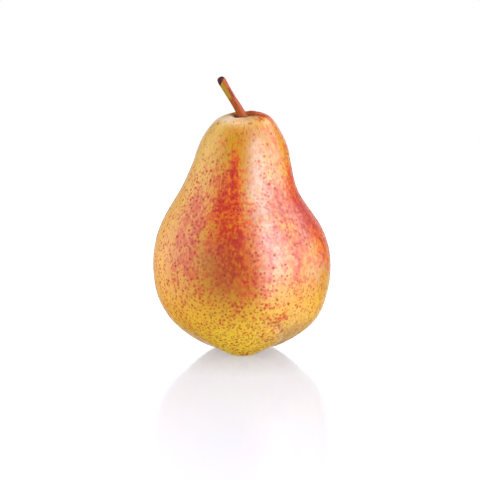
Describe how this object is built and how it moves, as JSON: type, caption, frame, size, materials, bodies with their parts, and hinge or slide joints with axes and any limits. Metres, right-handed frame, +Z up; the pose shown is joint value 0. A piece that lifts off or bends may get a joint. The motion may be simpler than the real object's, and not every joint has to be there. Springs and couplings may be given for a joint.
{
  "type": "pear",
  "caption": "Whole fresh pear standing on its lobed base, with a narrow neck, a leaning woody stalk and a dried calyx in the basin underneath.",
  "frame": {"origin": "on the surface the pear stands on, under the middle of the fruit", "axes": "+Z up from the base to the stalk, -Y the front, +X to the right seen from the front; the stalk leans to -X"},
  "size_m": [0.0674, 0.0671, 0.104],
  "materials": {
    "skin": "satin",
    "stalk_bark": "satin",
    "dried_calyx": "matte"
  },
  "bodies": {
    "root": {"fruit": "skin", "stalk": "stalk_bark", "calyx": "dried_calyx"}
  },
  "joints": []
}
